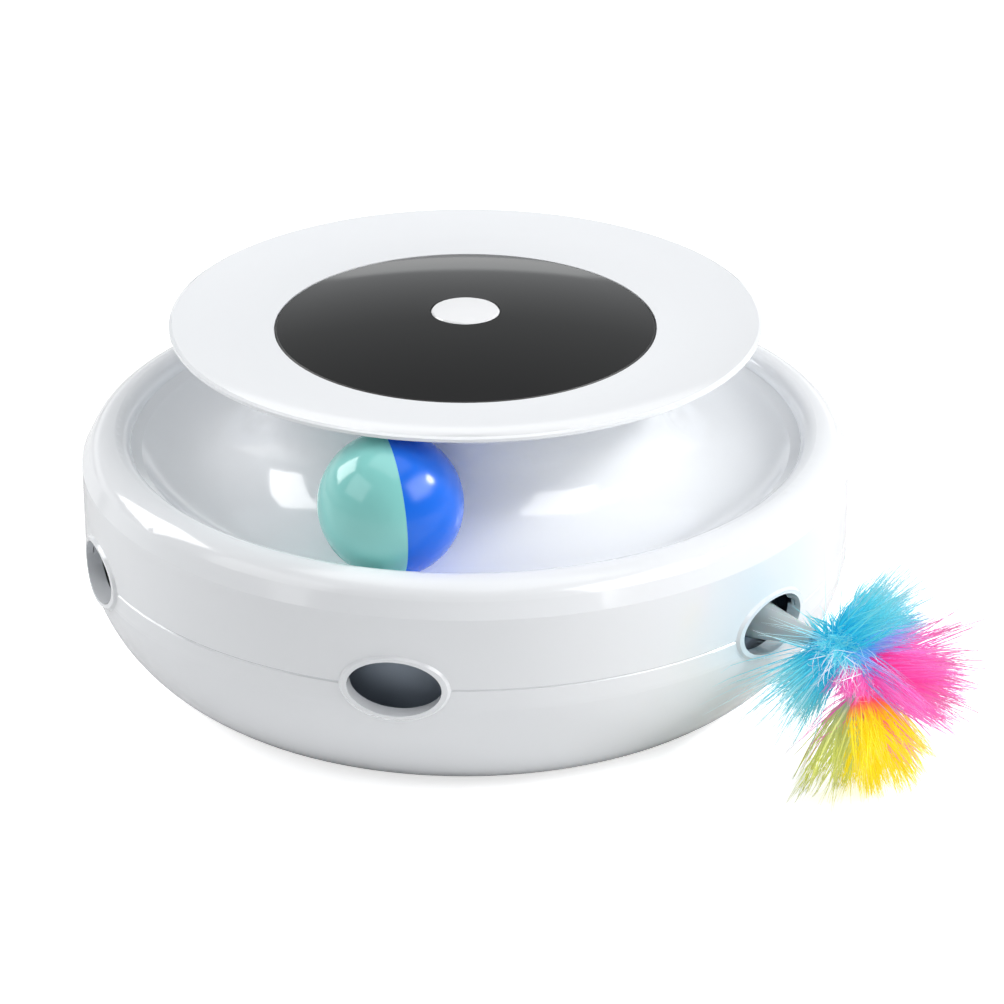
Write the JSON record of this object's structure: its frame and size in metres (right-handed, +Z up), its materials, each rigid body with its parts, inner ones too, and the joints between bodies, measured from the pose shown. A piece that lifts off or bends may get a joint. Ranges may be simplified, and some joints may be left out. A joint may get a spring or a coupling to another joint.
{
  "type": "electric turntable cat toy",
  "caption": "Round electric cat toy: a ball rolls in a covered ring track on top, and a geared turntable inside pushes a feather wand out of a side hole.",
  "frame": {"origin": "on the turntable's axis, at the floor that the rubber foot ring stands on", "axes": "+Z up along the turntable's axis, +X along the feather wand as it leaves its side hole, in metres"},
  "size_m": [0.3178, 0.25, 0.1177],
  "materials": {
    "white_shell": "glossy cool white moulding",
    "rubber_foot": "matt soft rubber",
    "dark_disc": "satin dark grey dome",
    "white_button": "glossy white",
    "grey_plastic": "blue-grey moulded plastic",
    "gear_plastic": "natural acetal",
    "clear_white": "milky translucent plastic",
    "steel": "zinc plated steel",
    "motor_can": "plated motor can",
    "bush_brass": "turned brass",
    "board_green": "solder mask on board",
    "component_black": "moulded black",
    "dome_rubber": "silicone",
    "cell_wrap": "plain dark sleeve",
    "quill_fibre": "pale feather quill",
    "feather_blue": "sky blue down",
    "feather_pink": "bright pink down",
    "feather_yellow": "warm yellow down",
    "ball_mint": "glossy mint",
    "ball_blue": "glossy mid blue",
    "bell_brass": "small pressed bell"
  },
  "bodies": {
    "casing": {"base_shell": "white_shell", "upper_shell": "white_shell", "foot_ring": "rubber_foot", "battery_cells": "cell_wrap", "battery_contacts": "steel", "battery_springs": "steel", "top_plate": "white_shell", "plate_screws": "steel", "disc_cover": "dark_disc", "control_board": "board_green", "board_components": "component_black", "board_screws": "steel", "tact_switch": "component_black", "switch_dome": "dome_rubber", "pivot_washer": "steel", "pivot_screw": "steel", "index_motor": "motor_can", "index_motor_clamp": "grey_plastic", "clamp_screws": "steel"},
    "door": {"battery_door": "white_shell"},
    "button": {"power_button": "white_button"},
    "turntable": {"turntable_drum": "grey_plastic", "ring_gear": "gear_plastic", "pivot_bush": "bush_brass", "wand_guide": "white_shell", "drive_bracket": "grey_plastic", "bracket_screws": "steel", "gear_shaft": "steel", "wand_motor": "motor_can"},
    "wand": {"wand_carriage": "clear_white", "wand_socket": "clear_white", "feather_sleeve": "clear_white", "feather_quill": "quill_fibre", "plume_blue": "feather_blue", "plume_pink": "feather_pink", "plume_yellow": "feather_yellow"},
    "rack_gear": {"drive_gear": "gear_plastic"},
    "wand_pinion": {"motor_pinion": "gear_plastic", "motor_shaft": "steel"},
    "turntable_pinion": {"index_pinion": "gear_plastic", "index_shaft": "steel"},
    "ball_core": {"ball_bell": "bell_brass"},
    "ball": {"ball_shell_mint": "ball_mint", "ball_shell_blue": "ball_blue"}
  },
  "joints": [
    {"name": "turntable_turn", "type": "hinge", "parent": "casing", "child": "turntable", "pos_m": [0, 0, 0.03], "axis": [0, 0, 1], "range_deg": [-3, 3]},
    {"name": "index_pinion_turn", "type": "hinge", "parent": "casing", "child": "turntable_pinion", "pos_m": [0.048, 0, 0.027], "axis": [0, 0, 1], "range_deg": [-15.2, 15.2]},
    {"name": "wand_slide", "type": "slide", "parent": "turntable", "child": "wand", "axis": [1, 0, 0], "range_m": [-0.08, 0], "deforming": ["plume_blue", "plume_pink", "plume_yellow"]},
    {"name": "drive_gear_turn", "type": "hinge", "parent": "turntable", "child": "rack_gear", "pos_m": [0.008, 0, 0.06065], "axis": [0, 1, 0], "range_deg": [-1, 511]},
    {"name": "motor_pinion_turn", "type": "hinge", "parent": "turntable", "child": "wand_pinion", "pos_m": [0.02879, 0, 0.07265], "axis": [0, 1, 0], "range_deg": [-1530, 1]},
    {"name": "power_button_press", "type": "slide", "parent": "casing", "child": "button", "axis": [0, 0, -1], "range_m": [0, 0.0008], "stiffness_N_per_m": 400, "springref_m": -0.0006, "deforming": ["switch_dome"]},
    {"name": "battery_door_slide", "type": "slide", "parent": "casing", "child": "door", "axis": [-1, 0, 0], "range_m": [0, 0.012]},
    {"name": "ball_orbit", "type": "hinge", "parent": "casing", "child": "ball_core", "pos_m": [0, 0, 0.0887], "axis": [0, 0, 1], "continuous": true},
    {"name": "ball_roll", "type": "hinge", "parent": "ball_core", "child": "ball", "pos_m": [0.0374, -0.08021, 0.0887], "axis": [0.4226, -0.9063, 0], "continuous": true}
  ],
  "couplings": [
    {"joint": "index_pinion_turn", "follows": "turntable_turn", "ratio": 5},
    {"joint": "drive_gear_turn", "follows": "wand_slide", "rad_per_m": -111.11},
    {"joint": "motor_pinion_turn", "follows": "wand_slide", "rad_per_m": 333.33},
    {"joint": "ball_roll", "follows": "ball_orbit", "ratio": -3.9159}
  ]
}
